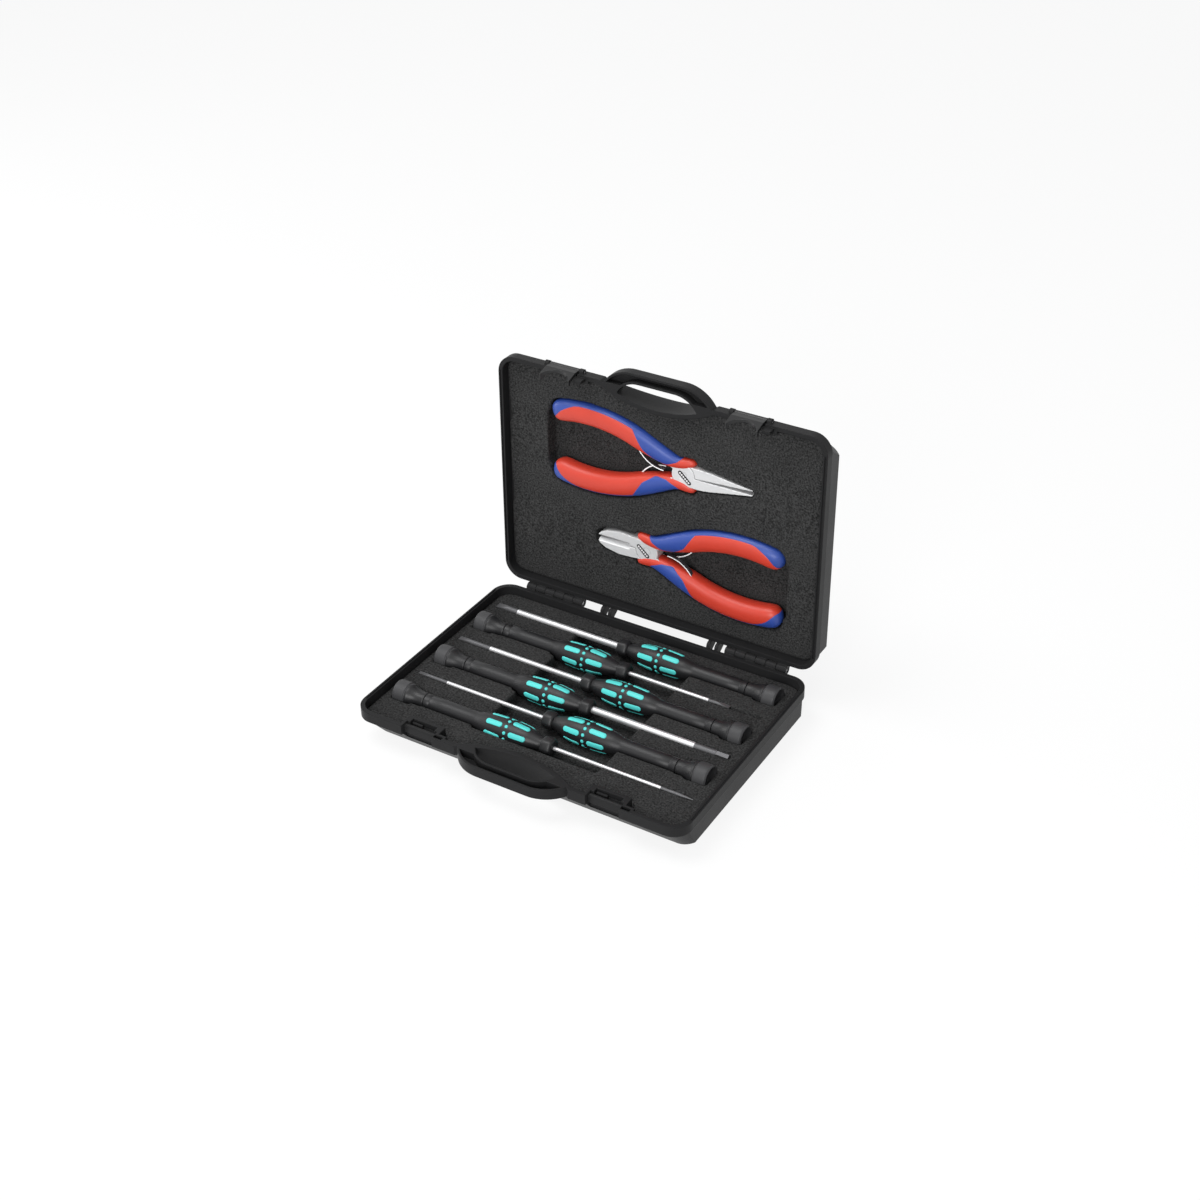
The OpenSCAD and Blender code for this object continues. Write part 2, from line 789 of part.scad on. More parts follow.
// Steel half with its handle tang at +Y and its jaw at -Y
module steel_half(kind) {
    half = steel_t / 2;
    difference() {
        union() {
            translate([0, 0, -tang_t / 2]) linear_extrude(tang_t) intersection() {
                difference() {
                    translate(arc_at) circle(arc_r + tang_w / 2, $fn = 160);
                    translate(arc_at) circle(arc_r - tang_w / 2, $fn = 160);
                }
                translate([-66, 0]) square([38, 40]);
            }
            translate([0, 0, -tang_t / 2]) linear_extrude(tang_t)
                polygon([[-31, 18.4], [-31, 12.4], [-18, 7], [-18, 11.6]]);
            translate([0, 0, -half]) linear_extrude(steel_t)
                polygon([[-20, 12.2], [-20, 7.6], [-7, 3], [0, 0], [-1, 5.9], [-5, 6.6]]);
            mirror([0, 1, 0]) jaw(kind);
        }
        translate([0, 0, -far]) cylinder(r = boss_r + lap_gap, h = far + lap_z);
    }
    translate([0, 0, lap_z]) cylinder(r = boss_r, h = half - lap_z);
}

// Jaw at +Y; its inner face stands off the middle by half the rest angle
module jaw(kind) {
    half = steel_t / 2;
    slope = tan((rest_angle + 0.3) / 2);
    if (kind == "nose") intersection() {
        translate([0, 0, -half]) linear_extrude(steel_t) polygon([
            [0, 0], [nose_l, nose_l * slope], [nose_l, nose_tip], [26, 3.6], [15, 5.4],
            [9, 5.9], [3, 5.8]
        ]);
        along_y(30) polygon([
            [-1, -half], [10, -half], [nose_l + 1, -nose_tip], [nose_l + 1, nose_tip],
            [10, half], [-1, half]
        ]);
    }
    else difference() {
        translate([0, 0, -half]) linear_extrude(steel_t) polygon([
            [0, 0], [cutter_l, cutter_l * slope], [cutter_l, 1.6], [cutter_l - 1.5, 3.4],
            [cutter_l - 5, 5.3], [17, 6.8], [10, 6.4], [3, 5.8]
        ]);
        // Ground bevels above and below leave a cutting edge between the faces
        for (side = [-1, 1]) translate([0, 0, side * bevel_z]) rotate([side * bevel_angle, 0, 0])
            translate([boss_r + 4, -20, -10]) cube([far, 20, 20]);
    }
}

// Spring leaf fixed in the sleeve at +Y, reaching over the middle
module leaf() {
    translate([0, 0, leaf_gap]) linear_extrude(leaf_w) intersection() {
        difference() {
            translate([-12, leaf_r - 0.6]) circle(leaf_r + leaf_t / 2);
            translate([-12, leaf_r - 0.6]) circle(leaf_r - leaf_t / 2);
        }
        translate([-27, -2]) square([15, 12]);
    }
}

module rivet_bore(r) {
    cylinder(r = r, h = far, center = true);
}

module plier_steel(at, turn, b, kind) {
    color([0.83, 0.84, 0.85]) in_lid(at, turn) flip(b) difference() {
        steel_half(kind);
        rivet_bore(pivot_r + (b ? pin_fit : 0));
    }
}

module plier_sleeve(at, turn, b, kind) {
    color([0.85, 0.27, 0.2]) in_lid(at, turn) flip(b) difference() {
        sleeve_core(kind);
        translate([0, 0, -sleeve_t]) linear_extrude(2 * sleeve_t) inlay_plan();
    }
}

module plier_inlay(at, turn, b, kind) {
    color([0.22, 0.27, 0.75]) in_lid(at, turn) flip(b) intersection() {
        sleeve_core(kind);
        translate([0, 0, -sleeve_t]) linear_extrude(2 * sleeve_t) inlay_plan();
    }
}

// Sleeve and inlay together, hollow where the steel, the other half's boss and jaw and
// the leaf go
module sleeve_core(kind) {
    room = steel_t + 2 * lap_gap;
    difference() {
        sleeve_solid();
        steel_half(kind);
        translate([0, 0, -room / 2]) cylinder(r = boss_r + lap_gap, h = room);
        translate([1, 0, -room / 2]) cube([boss_r + 4, jaw_w + lap_gap, room]);
        leaf();
    }
}

module plier_spring(at, turn, b) {
    color([0.7, 0.71, 0.72]) in_lid(at, turn) flip(b) leaf();
}

module plier_rivet(at, turn) {
    color([0.75, 0.76, 0.77]) in_lid(at, turn)
        cylinder(r = pivot_r, h = steel_t, center = true);
}

// Pocket for a pair of pliers in the shut lid's foam, the space between the handles included;
// head is half the outline of the room for its jaws
module plier_pocket(at, turn, head) {
    g = seat_gap + 0.5;
    deep = pliers_z + sleeve_t / 2 + seat_gap;
    shelf = pliers_z + steel_t / 2 + seat_gap;
    translate([at[0], at[1], 0]) rotate([0, 0, turn]) for (m = [0, 1]) mirror([0, m, 0]) {
        linear_extrude(deep) {
            handle_plan(g);
            polygon([
                [pocket_end, 0], [pocket_end, 16], [-60, 16], [-30, 12], [0, 6.6],
                [boss_r + g, 6.6], [boss_r + g, 0]
            ]);
        }
        linear_extrude(shelf) polygon(concat([[0, 0], [0, 7.6]], head));
    }
}

base_shell();
lid_shell();
hinge_pin(-1);  // hinge_pin_left
hinge_pin(1);  // hinge_pin_right
latch(-1);  // latch_left
latch(1);  // latch_right
latch_pin(-1);  // latch_pin_left
latch_pin(1);  // latch_pin_right
base_foam();
lid_foam();
driver_handle(0);  // driver_1_handle
driver_grip(0);  // driver_1_grip
driver_cap(0);  // driver_1_cap
driver_blade(0);  // driver_1_blade
driver_handle(1);  // driver_2_handle
driver_grip(1);  // driver_2_grip
driver_cap(1);  // driver_2_cap
driver_blade(1);  // driver_2_blade
driver_handle(2);  // driver_3_handle
driver_grip(2);  // driver_3_grip
driver_cap(2);  // driver_3_cap
driver_blade(2);  // driver_3_blade
driver_handle(3);  // driver_4_handle
driver_grip(3);  // driver_4_grip
driver_cap(3);  // driver_4_cap
driver_blade(3);  // driver_4_blade
driver_handle(4);  // driver_5_handle
driver_grip(4);  // driver_5_grip
driver_cap(4);  // driver_5_cap
driver_blade(4);  // driver_5_blade
driver_handle(5);  // driver_6_handle
driver_grip(5);  // driver_6_grip
driver_cap(5);  // driver_6_cap
driver_blade(5);  // driver_6_blade
plier_steel(nose_at, 0, false, "nose");  // nose_steel_a
plier_steel(nose_at, 0, true, "nose");  // nose_steel_b
plier_sleeve(nose_at, 0, false, "nose");  // nose_sleeve_a
plier_sleeve(nose_at, 0, true, "nose");  // nose_sleeve_b
plier_inlay(nose_at, 0, false, "nose");  // nose_inlay_a
plier_inlay(nose_at, 0, true, "nose");  // nose_inlay_b
plier_spring(nose_at, 0, false);  // nose_spring_a
plier_spring(nose_at, 0, true);  // nose_spring_b
plier_rivet(nose_at, 0);  // nose_rivet
plier_steel(cutter_at, 180, false, "cutter");  // cutter_steel_a
plier_steel(cutter_at, 180, true, "cutter");  // cutter_steel_b
plier_sleeve(cutter_at, 180, false, "cutter");  // cutter_sleeve_a
plier_sleeve(cutter_at, 180, true, "cutter");  // cutter_sleeve_b
plier_inlay(cutter_at, 180, false, "cutter");  // cutter_inlay_a
plier_inlay(cutter_at, 180, true, "cutter");  // cutter_inlay_b
plier_spring(cutter_at, 180, false);  // cutter_spring_a
plier_spring(cutter_at, 180, true);  // cutter_spring_b
plier_rivet(cutter_at, 180);  // cutter_rivet
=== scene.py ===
# %% [markdown]
# # A fitted tool case, dressed for the camera
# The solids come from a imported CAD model: two moulded halves on hinges, foam inserts, six
# screwdrivers and two pliers. This lesson gives every solid its finish and replaces the soft,
# flowing or forged ones (foam, plier sleeves and halves, screwdriver handles) by meshes with
# rounder forms. Everything is in metres and stays where the CAD model has it.

# %% Load the frame
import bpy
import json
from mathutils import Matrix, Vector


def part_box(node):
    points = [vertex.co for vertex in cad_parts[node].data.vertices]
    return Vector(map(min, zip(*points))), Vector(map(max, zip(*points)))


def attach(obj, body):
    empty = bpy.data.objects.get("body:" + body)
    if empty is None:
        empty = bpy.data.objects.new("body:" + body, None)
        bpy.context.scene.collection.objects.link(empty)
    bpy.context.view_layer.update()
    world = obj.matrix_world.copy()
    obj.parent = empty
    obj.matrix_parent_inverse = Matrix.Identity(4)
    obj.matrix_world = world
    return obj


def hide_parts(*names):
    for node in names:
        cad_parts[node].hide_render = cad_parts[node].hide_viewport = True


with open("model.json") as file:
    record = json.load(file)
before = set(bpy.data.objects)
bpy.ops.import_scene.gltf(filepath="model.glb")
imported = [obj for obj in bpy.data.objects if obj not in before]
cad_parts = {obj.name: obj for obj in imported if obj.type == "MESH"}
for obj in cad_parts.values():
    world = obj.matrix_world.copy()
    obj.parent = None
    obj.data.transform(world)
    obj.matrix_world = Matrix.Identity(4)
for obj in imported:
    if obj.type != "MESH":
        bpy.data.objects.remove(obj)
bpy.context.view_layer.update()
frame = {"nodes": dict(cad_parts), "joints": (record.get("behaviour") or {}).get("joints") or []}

import bpy
import bmesh
import json
import math
from mathutils import Matrix, Vector

MM = 0.001
NODES = frame["nodes"]
scene = bpy.context.scene

# %% [markdown]
# ## The camera
# A camera is set by where it looks, how far away it stands and how long its lens is. These numbers
# were fitted to the straight edges of the case in the photograph. The picture's centre isn't the
# lens's axis there, so the sensor is shifted a little, as a view camera does.

# %% Camera
AIM = Vector((-8.49, 87.02, 75.36)) * MM
AZIMUTH, ELEVATION = math.radians(30.03), math.radians(31.11)
DISTANCE = 0.9617
LENS, SENSOR = 54.57, 36
SHIFT_X, SHIFT_Y = -0.0463, -0.0667
BACK = Vector((math.sin(AZIMUTH) * math.cos(ELEVATION),
               -math.cos(AZIMUTH) * math.cos(ELEVATION), math.sin(ELEVATION)))
lens = bpy.data.cameras.new("camera")
lens.sensor_width = SENSOR
lens.lens = LENS
lens.shift_x, lens.shift_y = SHIFT_X, SHIFT_Y
lens.clip_start, lens.clip_end = 0.05, 20
camera = bpy.data.objects.new("camera", lens)
scene.collection.objects.link(camera)
camera.location = AIM + BACK * DISTANCE
camera.rotation_euler = BACK.to_track_quat("Z", "Y").to_euler()
scene.camera = camera
print("camera at", [round(v, 4) for v in camera.location])

# %% [markdown]
# ## Light and floor
# Product photographs of dark plastic use a white room: an even dome, large soft lamps above and in
# front for the highlights on edges and steel, and a weaker one from the left. The camera and
# glossy surfaces see the world as white, but the dome that lights the object is only moderate, so
# dark plastic stays dark.

# %% World, lamps and floor
DOME_COLOR, DOME_STRENGTH = (0.98, 0.99, 1, 1), 0.55
WHITE_COLOR, WHITE_STRENGTH = (1, 1, 1, 1), 1.0
# Name, place in metres, size in metres and watts of each lamp
LAMPS = (("lamp_above", (-0.35, -0.25, 1.1), 0.7, 7),
         ("lamp_front", (0.22, -1.2, 0.55), 0.6, 9),
         ("lamp_left", (-1.1, -0.1, 0.35), 0.5, 3))
LAMP_TARGET = (0, 0.02, 0.06)
FLOOR_SIZE = 4

scene.view_settings.view_transform = "Standard"
world = bpy.data.worlds.new("studio")
scene.world = world
world.use_nodes = True
wt = world.node_tree
wt.nodes.clear()
out = wt.nodes.new("ShaderNodeOutputWorld")
mix = wt.nodes.new("ShaderNodeMixShader")
dome = wt.nodes.new("ShaderNodeBackground")
white = wt.nodes.new("ShaderNodeBackground")
path = wt.nodes.new("ShaderNodeLightPath")
dome.inputs["Color"].default_value = DOME_COLOR
dome.inputs["Strength"].default_value = DOME_STRENGTH
white.inputs["Color"].default_value = WHITE_COLOR
white.inputs["Strength"].default_value = WHITE_STRENGTH
seen = wt.nodes.new("ShaderNodeMath")
seen.operation = "ADD"
seen.use_clamp = True
wt.links.new(path.outputs["Is Camera Ray"], seen.inputs[0])
wt.links.new(path.outputs["Is Glossy Ray"], seen.inputs[1])
wt.links.new(seen.outputs[0], mix.inputs["Fac"])
wt.links.new(dome.outputs[0], mix.inputs[1])
wt.links.new(white.outputs[0], mix.inputs[2])
wt.links.new(mix.outputs[0], out.inputs["Surface"])


def soft_lamp(name, place, size, watts):
    """A round lamp that looks at the case."""
    lamp = bpy.data.lights.new(name, "AREA")
    lamp.shape = "DISK"
    lamp.size = size
    lamp.energy = watts
    holder = bpy.data.objects.new(name, lamp)
    scene.collection.objects.link(holder)
    holder.location = place
    away = Vector(place) - Vector(LAMP_TARGET)
    holder.rotation_euler = away.to_track_quat("Z", "Y").to_euler()


for lamp_row in LAMPS:
    soft_lamp(*lamp_row)

floor_mesh = bpy.data.meshes.new("floor")
bm = bmesh.new()
bmesh.ops.create_grid(bm, x_segments=2, y_segments=2, size=FLOOR_SIZE)
bm.to_mesh(floor_mesh)
bm.free()
floor = bpy.data.objects.new("floor", floor_mesh)
scene.collection.objects.link(floor)

# %% [markdown]
# ## Effects that several finishes share
# Moulded plastic, foam and rubber are never one flat colour. Three node groups hold what they have
# in common. `fine_grain` is the leathery spark-eroded texture of a mould: it gives a height for a
# bump and a slight change of gloss. The foam group is the open skin of cut foam: pits in the bump,
# and in the colour fine dark and light specks, painted shade and painted light of the pits, over
# cloudy patches of tone. `hand_wear` is the faint change of tone that handling leaves.

# %% Node groups
def new_group(name, inputs, outputs):
    tree = bpy.data.node_groups.new(name, "ShaderNodeTree")
    for label, kind, value in inputs:
        socket = tree.interface.new_socket(label, in_out="INPUT", socket_type=kind)
        socket.default_value = value
    for label, kind in outputs:
        tree.interface.new_socket(label, in_out="OUTPUT", socket_type=kind)
    return tree, tree.nodes.new("NodeGroupInput"), tree.nodes.new("NodeGroupOutput")


def maths(tree, operation, a, b=None, c=None, clamp=False):
    """One step of arithmetic; each of a, b and c is a socket or a number."""
    node = tree.nodes.new("ShaderNodeMath")
    node.operation = operation
    node.use_clamp = clamp
    for socket, value in zip(node.inputs, (a, b, c)):
        if value is None:
            continue
        if hasattr(value, "links"):
            tree.links.new(value, socket)
        else:
            socket.default_value = value
    return node.outputs[0]


def noise(tree, scale, detail, rough=0.5):
    """Noise of about scale patches a metre, from 0 to 1."""
    place = tree.nodes.new("ShaderNodeTexCoord")
    node = tree.nodes.new("ShaderNodeTexNoise")
    tree.links.new(place.outputs["Object"], node.inputs["Vector"])
    if hasattr(scale, "links"):
        tree.links.new(scale, node.inputs["Scale"])
    else:
        node.inputs["Scale"].default_value = scale
    node.inputs["Detail"].default_value = detail
    node.inputs["Roughness"].default_value = rough
    return node.outputs["Fac"]


def mix_colors(tree, factor, a, b):
    """Colour a where the factor is 0 and colour b where it is 1."""
    node = tree.nodes.new("ShaderNodeMix")
    node.data_type = "RGBA"
    tree.links.new(factor, node.inputs["Factor"])
    for socket, color in zip([s for s in node.inputs if s.type == "RGBA"], (a, b)):
        if hasattr(color, "links"):
            tree.links.new(color, socket)
        else:
            socket.default_value = color
    return [s for s in node.outputs if s.type == "RGBA"][0]


FLOAT, COLOR = "NodeSocketFloat", "NodeSocketColor"
BLACK, WHITE = (0, 0, 0, 1), (1, 1, 1, 1)
# Patches of uneven gloss are about 30 mm wide, and cloudy patches in foam about 17 mm
GLOSS_PATCHES, FOAM_CLOUDS = 35.0, 60.0
# How much the specks (painted shade and light of the pits) and the clouds count in the tone of
# foam, and what is taken off
SPECK_WEIGHT, CLOUD_WEIGHT, TONE_OFFSET = 2.4, 0.25, 0.97
SPECK_PER_CELL = 0.45

grain, gi, go = new_group("fine_grain", [("Scale", FLOAT, 2500.0), ("Roughness", FLOAT, 0.5),
                                         ("Vary", FLOAT, 0.1)],
                          [("Height", FLOAT), ("Roughness", FLOAT)])
fine = noise(grain, gi.outputs["Scale"], 2.0)
broad = noise(grain, GLOSS_PATCHES, 4.0, 0.6)
grain.links.new(fine, go.inputs["Height"])
shift = maths(grain, "MULTIPLY", maths(grain, "SUBTRACT", broad, 0.5), gi.outputs["Vary"])
grain.links.new(maths(grain, "ADD", gi.outputs["Roughness"], shift, clamp=True),
                go.inputs["Roughness"])

pits, gi, go = new_group("cell_pits_and_painted_shade", [("Scale", FLOAT, 1400.0), ("Dark", COLOR, BLACK),
                                       ("Light", COLOR, WHITE)],
                         [("Color", COLOR), ("Height", FLOAT)])
place = pits.nodes.new("ShaderNodeTexCoord")
cells = pits.nodes.new("ShaderNodeTexVoronoi")
pits.links.new(place.outputs["Object"], cells.inputs["Vector"])
pits.links.new(gi.outputs["Scale"], cells.inputs["Scale"])
pit_shade_speck = noise(pits, maths(pits, "MULTIPLY", gi.outputs["Scale"], SPECK_PER_CELL), 5.0, 0.7)
cloud = noise(pits, FOAM_CLOUDS, 4.0, 0.6)
depth = maths(pits, "MULTIPLY", cells.outputs["Distance"], pit_shade_speck)
# The specks are painted shade and painted light of the pits; the clouds are patches of tone
tone = maths(pits, "ADD", maths(pits, "MULTIPLY", pit_shade_speck, SPECK_WEIGHT),
             maths(pits, "MULTIPLY", cloud, CLOUD_WEIGHT))
tone = maths(pits, "SUBTRACT", tone, TONE_OFFSET, clamp=True)
pits.links.new(mix_colors(pits, tone, gi.outputs["Dark"], gi.outputs["Light"]),
               go.inputs["Color"])
pits.links.new(depth, go.inputs["Height"])

wear, gi, go = new_group("hand_wear", [("Color", COLOR, WHITE), ("Amount", FLOAT, 0.2),
                                       ("Scale", FLOAT, 90.0)], [("Color", COLOR)])
patch = noise(wear, gi.outputs["Scale"], 5.0, 0.65)
factor = maths(wear, "ADD", 1.0,
               maths(wear, "MULTIPLY", maths(wear, "SUBTRACT", patch, 0.5), gi.outputs["Amount"]))
tint = wear.nodes.new("ShaderNodeVectorMath")
tint.operation = "SCALE"
wear.links.new(gi.outputs["Color"], tint.inputs[0])
wear.links.new(factor, tint.inputs["Scale"])
wear.links.new(tint.outputs[0], go.inputs["Color"])
print("groups", [g.name for g in bpy.data.node_groups])


# %% Helpers that start a material
EDGE_SAMPLES = 6


def start_material(name, color, roughness, metallic=0.0):
    mat = bpy.data.materials.new(name)
    mat.use_nodes = True
    mat.diffuse_color = (*color, 1)
    bsdf = mat.node_tree.nodes["Principled BSDF"]
    bsdf.inputs["Base Color"].default_value = (*color, 1)
    bsdf.inputs["Roughness"].default_value = roughness
    bsdf.inputs["Metallic"].default_value = metallic
    return mat, mat.node_tree, bsdf


def add_group(tree, group, **values):
    node = tree.nodes.new("ShaderNodeGroup")
    node.node_tree = group
    for label, value in values.items():
        node.inputs[label].default_value = value
    return node


def add_bump(tree, bsdf, height, strength, distance, edge=0.0):
    """Bump from a height; edge is the radius by which sharp edges seem to be broken."""
    bump = tree.nodes.new("ShaderNodeBump")
    if edge:
        broken = tree.nodes.new("ShaderNodeBevel")
        broken.samples = EDGE_SAMPLES
        broken.inputs["Radius"].default_value = edge
        tree.links.new(broken.outputs["Normal"], bump.inputs["Normal"])
    bump.inputs["Strength"].default_value = strength
    bump.inputs["Distance"].default_value = distance
    tree.links.new(height, bump.inputs["Height"])
    tree.links.new(bump.outputs["Normal"], bsdf.inputs["Normal"])


# %% [markdown]
# ## Plastic, rubber and foam
# A moulded plastic is its colour, a fine grain in the bump and an uneven gloss. The case and the
# latches are also shaded as if their edges were broken by about half a millimetre. Foam has no
# highlight to speak of: its look comes from thousands of tiny pits in the bump, and from fine
# specks in its colour that are painted light for the pits' walls and painted shade for their
# insides.

# %% Moulded and soft finishes
GRAIN_HEIGHT, PIT_HEIGHT = 0.15 * MM, 0.6 * MM
WEAR_PATCHES = 70.0


def moulded(name, color, roughness, grain_scale=2200.0, grain_depth=0.25, wear_amount=0.25,
            shine=0.3, edge=0.0):
    mat, tree, bsdf = start_material(name, color, roughness)
    bsdf.inputs["Specular IOR Level"].default_value = shine
    tone = add_group(tree, wear, Color=(*color, 1), Amount=wear_amount, Scale=WEAR_PATCHES)
    tree.links.new(tone.outputs["Color"], bsdf.inputs["Base Color"])
    skin = add_group(tree, grain, Scale=grain_scale, Roughness=roughness, Vary=0.16)
    tree.links.new(skin.outputs["Roughness"], bsdf.inputs["Roughness"])
    add_bump(tree, bsdf, skin.outputs["Height"], grain_depth, GRAIN_HEIGHT, edge)
    return mat


case_plastic = moulded("case_plastic", (0.017, 0.017, 0.0175), 0.42, grain_depth=0.3,
                       shine=0.08, edge=0.6 * MM)
latch_plastic = moulded("latch_plastic", (0.016, 0.016, 0.0165), 0.3, grain_depth=0.12,
                        edge=0.4 * MM)
handle_plastic = moulded("handle_plastic", (0.011, 0.011, 0.012), 0.42, grain_scale=1800.0,
                         grain_depth=0.15, shine=0.35)
cap_plastic = moulded("cap_plastic", (0.042, 0.042, 0.044), 0.5, grain_scale=1500.0,
                      grain_depth=0.2)
grip_teal = moulded("grip_teal", (0.08, 0.61, 0.58), 0.45, grain_scale=1600.0,
                    grain_depth=0.12, wear_amount=0.12, shine=0.4)


def foam_material(name, scale):
    mat, tree, bsdf = start_material(name, (0.04, 0.04, 0.043), 0.95)
    # The fine specks between these two tones are painted shade for the pits' insides and painted
    # light for their walls
    skin = add_group(tree, pits, Scale=scale, Dark=(0.003, 0.003, 0.003, 1),
                     Light=(0.075, 0.075, 0.075, 1))
    tree.links.new(skin.outputs["Color"], bsdf.inputs["Base Color"])
    add_bump(tree, bsdf, skin.outputs["Height"], 0.8, PIT_HEIGHT)
    bsdf.inputs["Specular IOR Level"].default_value = 0.2
    return mat


foam_skin = foam_material("foam", 2400.0)

# %% [markdown]
# ## Steel
# Ground steel shows scratches along the way it was ground, so the noise is stretched along the
# tool. Wire and plated blades are smoother. The blades' tips are blackened for a stated length, so
# each blade's material mixes steel and a dark oxide by its place along X.


# %% Steel finishes
SCRATCH_STRETCH = (30.0, 900.0, 900.0)
SCRATCH_SCALE, SCRATCH_HEIGHT = 6.0, 0.1 * MM
OXIDE, BLUED = (0.11, 0.11, 0.115, 1), (0.05, 0.05, 0.055, 1)
# Roughness of a blade's blackened tip, and how much smoother the bright part is
TIP_ROUGHNESS, BRIGHT_SMOOTHER = 0.54, 0.14
TIP_BLUR = 0.2 * MM


def steel(name, color, roughness, depth=0.15, metallic=0.7):
    mat, tree, bsdf = start_material(name, color, roughness, metallic)
    place = tree.nodes.new("ShaderNodeTexCoord")
    mapping = tree.nodes.new("ShaderNodeMapping")
    mapping.inputs["Scale"].default_value = SCRATCH_STRETCH
    tex = tree.nodes.new("ShaderNodeTexNoise")
    tex.inputs["Scale"].default_value = SCRATCH_SCALE
    tex.inputs["Detail"].default_value = 4.0
    tree.links.new(place.outputs["Object"], mapping.inputs["Vector"])
    tree.links.new(mapping.outputs["Vector"], tex.inputs["Vector"])
    # The noise is about a half on average, so this stays near the roughness asked for
    uneven = maths(tree, "MULTIPLY_ADD", tex.outputs["Fac"], 0.25, roughness - 0.12, clamp=True)
    tree.links.new(uneven, bsdf.inputs["Roughness"])
    tone = add_group(tree, wear, Color=(*color, 1), Amount=0.12, Scale=160.0)
    tree.links.new(tone.outputs["Color"], bsdf.inputs["Base Color"])
    add_bump(tree, bsdf, tex.outputs["Fac"], depth, SCRATCH_HEIGHT)
    return mat


plier_steel = steel("plier_steel", (0.68, 0.68, 0.685), 0.5, metallic=0.4)
spring_steel = steel("spring_steel", (0.95, 0.95, 0.96), 0.45, metallic=0.2)
pin_steel = steel("pin_steel", (0.5, 0.5, 0.51), 0.3)


def darken_where(mat, bright_factor, dark):
    """Keeps a material's colour where the factor is 1 and puts a dark one where it is 0."""
    tree = mat.node_tree
    base = tree.nodes["Principled BSDF"].inputs["Base Color"]
    bright = base.links[0].from_socket
    tree.links.new(mix_colors(tree, bright_factor, dark, bright), base)


def split_vector(mat, output):
    """The three parts of one output of the texture coordinates."""
    tree = mat.node_tree
    place = tree.nodes.new("ShaderNodeTexCoord")
    split = tree.nodes.new("ShaderNodeSeparateXYZ")
    tree.links.new(place.outputs[output], split.inputs[0])
    return tree, split.outputs


def blade_material(name, low, high):
    """Bright between low and high along X, blackened beyond."""
    mat = steel(name, (0.62, 0.62, 0.63), 0.4, depth=0.05)
    tree, place = split_vector(mat, "Object")
    after = maths(tree, "MULTIPLY_ADD", place["X"], 1 / TIP_BLUR, -low / TIP_BLUR, clamp=True)
    before = maths(tree, "MULTIPLY_ADD", place["X"], -1 / TIP_BLUR, high / TIP_BLUR, clamp=True)
    bright = maths(tree, "MULTIPLY", after, before)
    darken_where(mat, bright, OXIDE)
    rough = maths(tree, "MULTIPLY_ADD", bright, -BRIGHT_SMOOTHER, TIP_ROUGHNESS)
    tree.links.new(rough, tree.nodes["Principled BSDF"].inputs["Roughness"])
    return mat


# The leaves of the springs are blued, and their long edges, which face along Y, are bright
tree, facing = split_vector(spring_steel, "Normal")
on_edge = maths(tree, "MULTIPLY_ADD", maths(tree, "ABSOLUTE", facing["Y"]), 5.0, -3.5, clamp=True)
darken_where(spring_steel, on_edge, BLUED)

# %% [markdown]
# ## Putting finishes on the CAD solids
# A CAD solid whose shape is right keeps its mesh and only gets a material. The names say what
# each one is.

# %% Materials on the solids
def finish(node, material):
    data = NODES[node].data
    data.materials.clear()
    data.materials.append(material)


for node in ("base_shell", "lid_shell"):
    finish(node, case_plastic)
for side in ("left", "right"):
    finish("latch_" + side, latch_plastic)
    finish("latch_pin_" + side, pin_steel)
    finish("hinge_pin_" + side, pin_steel)
for tool in ("nose", "cutter"):
    finish(tool + "_rivet", plier_steel)
    for half in "ab":
        finish(f"{tool}_spring_{half}", spring_steel)

# Length of the blackened tip of each blade, from the back row to the front one
TIP_LENGTH = (13.5, 12.0, 20.0, 19.0, 18.0, 17.4)
for i, length in enumerate(TIP_LENGTH):
    name = f"driver_{i + 1}_blade"
    low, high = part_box(name)
    if i % 2 == 0:
        limits = (low[0] + length * MM, 1.0)
    else:
        limits = (-1.0, high[0] - length * MM)
    finish(name, blade_material(f"blade_steel_{i + 1}", *limits))
print("finished solids")

# %% [markdown]
# ## Small tools for making meshes
# Every new piece ends the same way: its bmesh becomes an object at the origin, smooth where the
# surface curves and sharp where it folds, riding on its body and standing for a CAD node.


# %% Making an object from a bmesh
WELD = 1e-6


def make_piece(bm, name, material, body, nodes=(), sharp=40):
    bmesh.ops.remove_doubles(bm, verts=bm.verts[:], dist=WELD)
    bmesh.ops.recalc_face_normals(bm, faces=bm.faces[:])
    mesh = bpy.data.meshes.new(name)
    bm.to_mesh(mesh)
    bm.free()
    mesh.shade_smooth()
    mesh.set_sharp_from_angle(angle=math.radians(sharp))
    mesh.materials.append(material)
    obj = bpy.data.objects.new(name, mesh)
    scene.collection.objects.link(obj)
    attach(obj, body)
    if nodes:
        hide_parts(*nodes)
    return obj


def spin_profile(bm, points, y, z, steps=40):
    """Turns points of (x, radius) about the line along X through y and z."""
    verts = [bm.verts.new((x, y, z + r)) for x, r in points]
    edges = [bm.edges.new(pair) for pair in zip(verts, verts[1:])]
    bmesh.ops.spin(bm, geom=verts + edges, cent=(0, y, z), axis=(1, 0, 0), dvec=(0, 0, 0),
                   angle=2 * math.pi, steps=steps, use_merge=True, use_duplicate=False)


def smooth_through(points, per_span):
    """A Catmull-Rom curve through points, with per_span steps from each to the next."""
    result = []
    ends = [points[0]] + list(points) + [points[-1]]
    for a, b, c, d in zip(ends, ends[1:], ends[2:], ends[3:]):
        for k in range(per_span):
            t = k / per_span
            result.append(tuple(
                0.5 * (2 * q + (r - p) * t + (2 * p - 5 * q + 4 * r - s) * t * t
                       + (3 * q - p - 3 * r + s) * t ** 3)
                for p, q, r, s in zip(a, b, c, d)))
    return result + [tuple(points[-1])]


